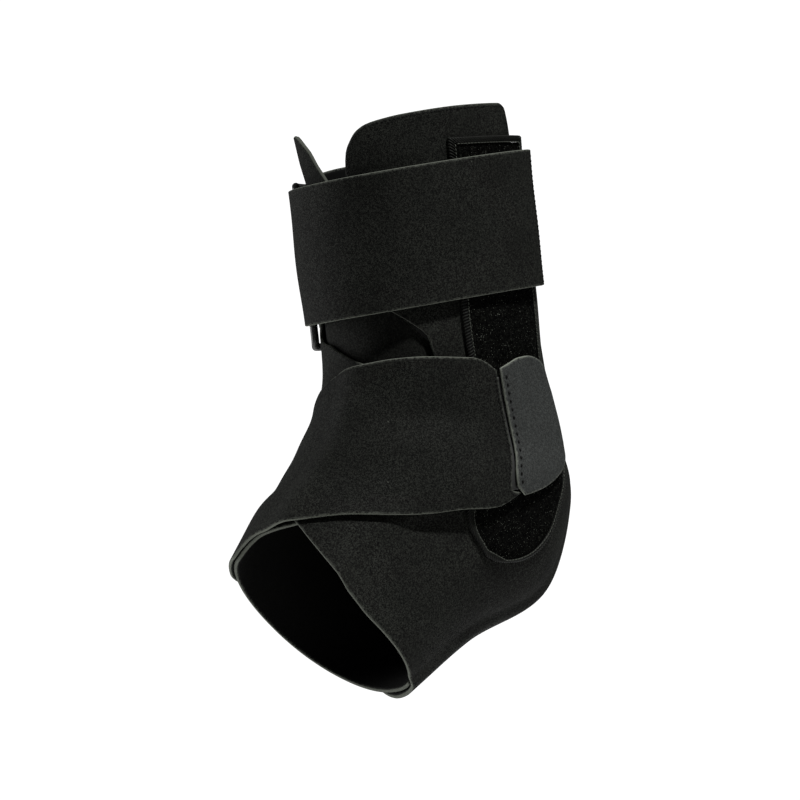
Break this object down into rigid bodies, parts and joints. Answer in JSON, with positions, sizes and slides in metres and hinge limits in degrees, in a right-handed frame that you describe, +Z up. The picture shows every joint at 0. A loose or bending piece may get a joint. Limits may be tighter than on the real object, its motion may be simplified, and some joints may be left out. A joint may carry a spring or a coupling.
{
  "type": "ankle brace",
  "caption": "Wrap-on ankle brace of black laminate with a tongue, a strap doubled back through a ring, and a broad instep strap closed on a pile field.",
  "frame": {"origin": "middle of the ankle joint, inside the brace, where the wearer's ankle holds it up", "axes": "+Z up along the lower leg, -Y towards the toes, +X towards the outer side of a left ankle"},
  "size_m": [0.0842, 0.1391, 0.219],
  "materials": {
    "laminate": "matte fine-grained knit laminate",
    "strap_laminate": "matte fine-grained knit laminate",
    "tongue_cloth": "soft matte cloth",
    "loop_pile": "brushed loop pile",
    "binding_thread": "overlocked thread",
    "hook_tape": "moulded hooks",
    "ring_plastic": "satin moulded plastic",
    "webbing": "woven webbing",
    "grey_tab": "smooth laminate, fine texture"
  },
  "bodies": {
    "root": {"outer_panel": "laminate", "inner_panel": "laminate", "tongue": "tongue_cloth", "pile_strip": "loop_pile", "pile_binding": "binding_thread", "upper_strap": "strap_laminate", "upper_hook": "hook_tape", "strap_ring": "ring_plastic", "ring_tab": "webbing", "lower_strap": "strap_laminate", "lower_hook": "hook_tape", "hook_tab": "grey_tab"}
  },
  "joints": []
}
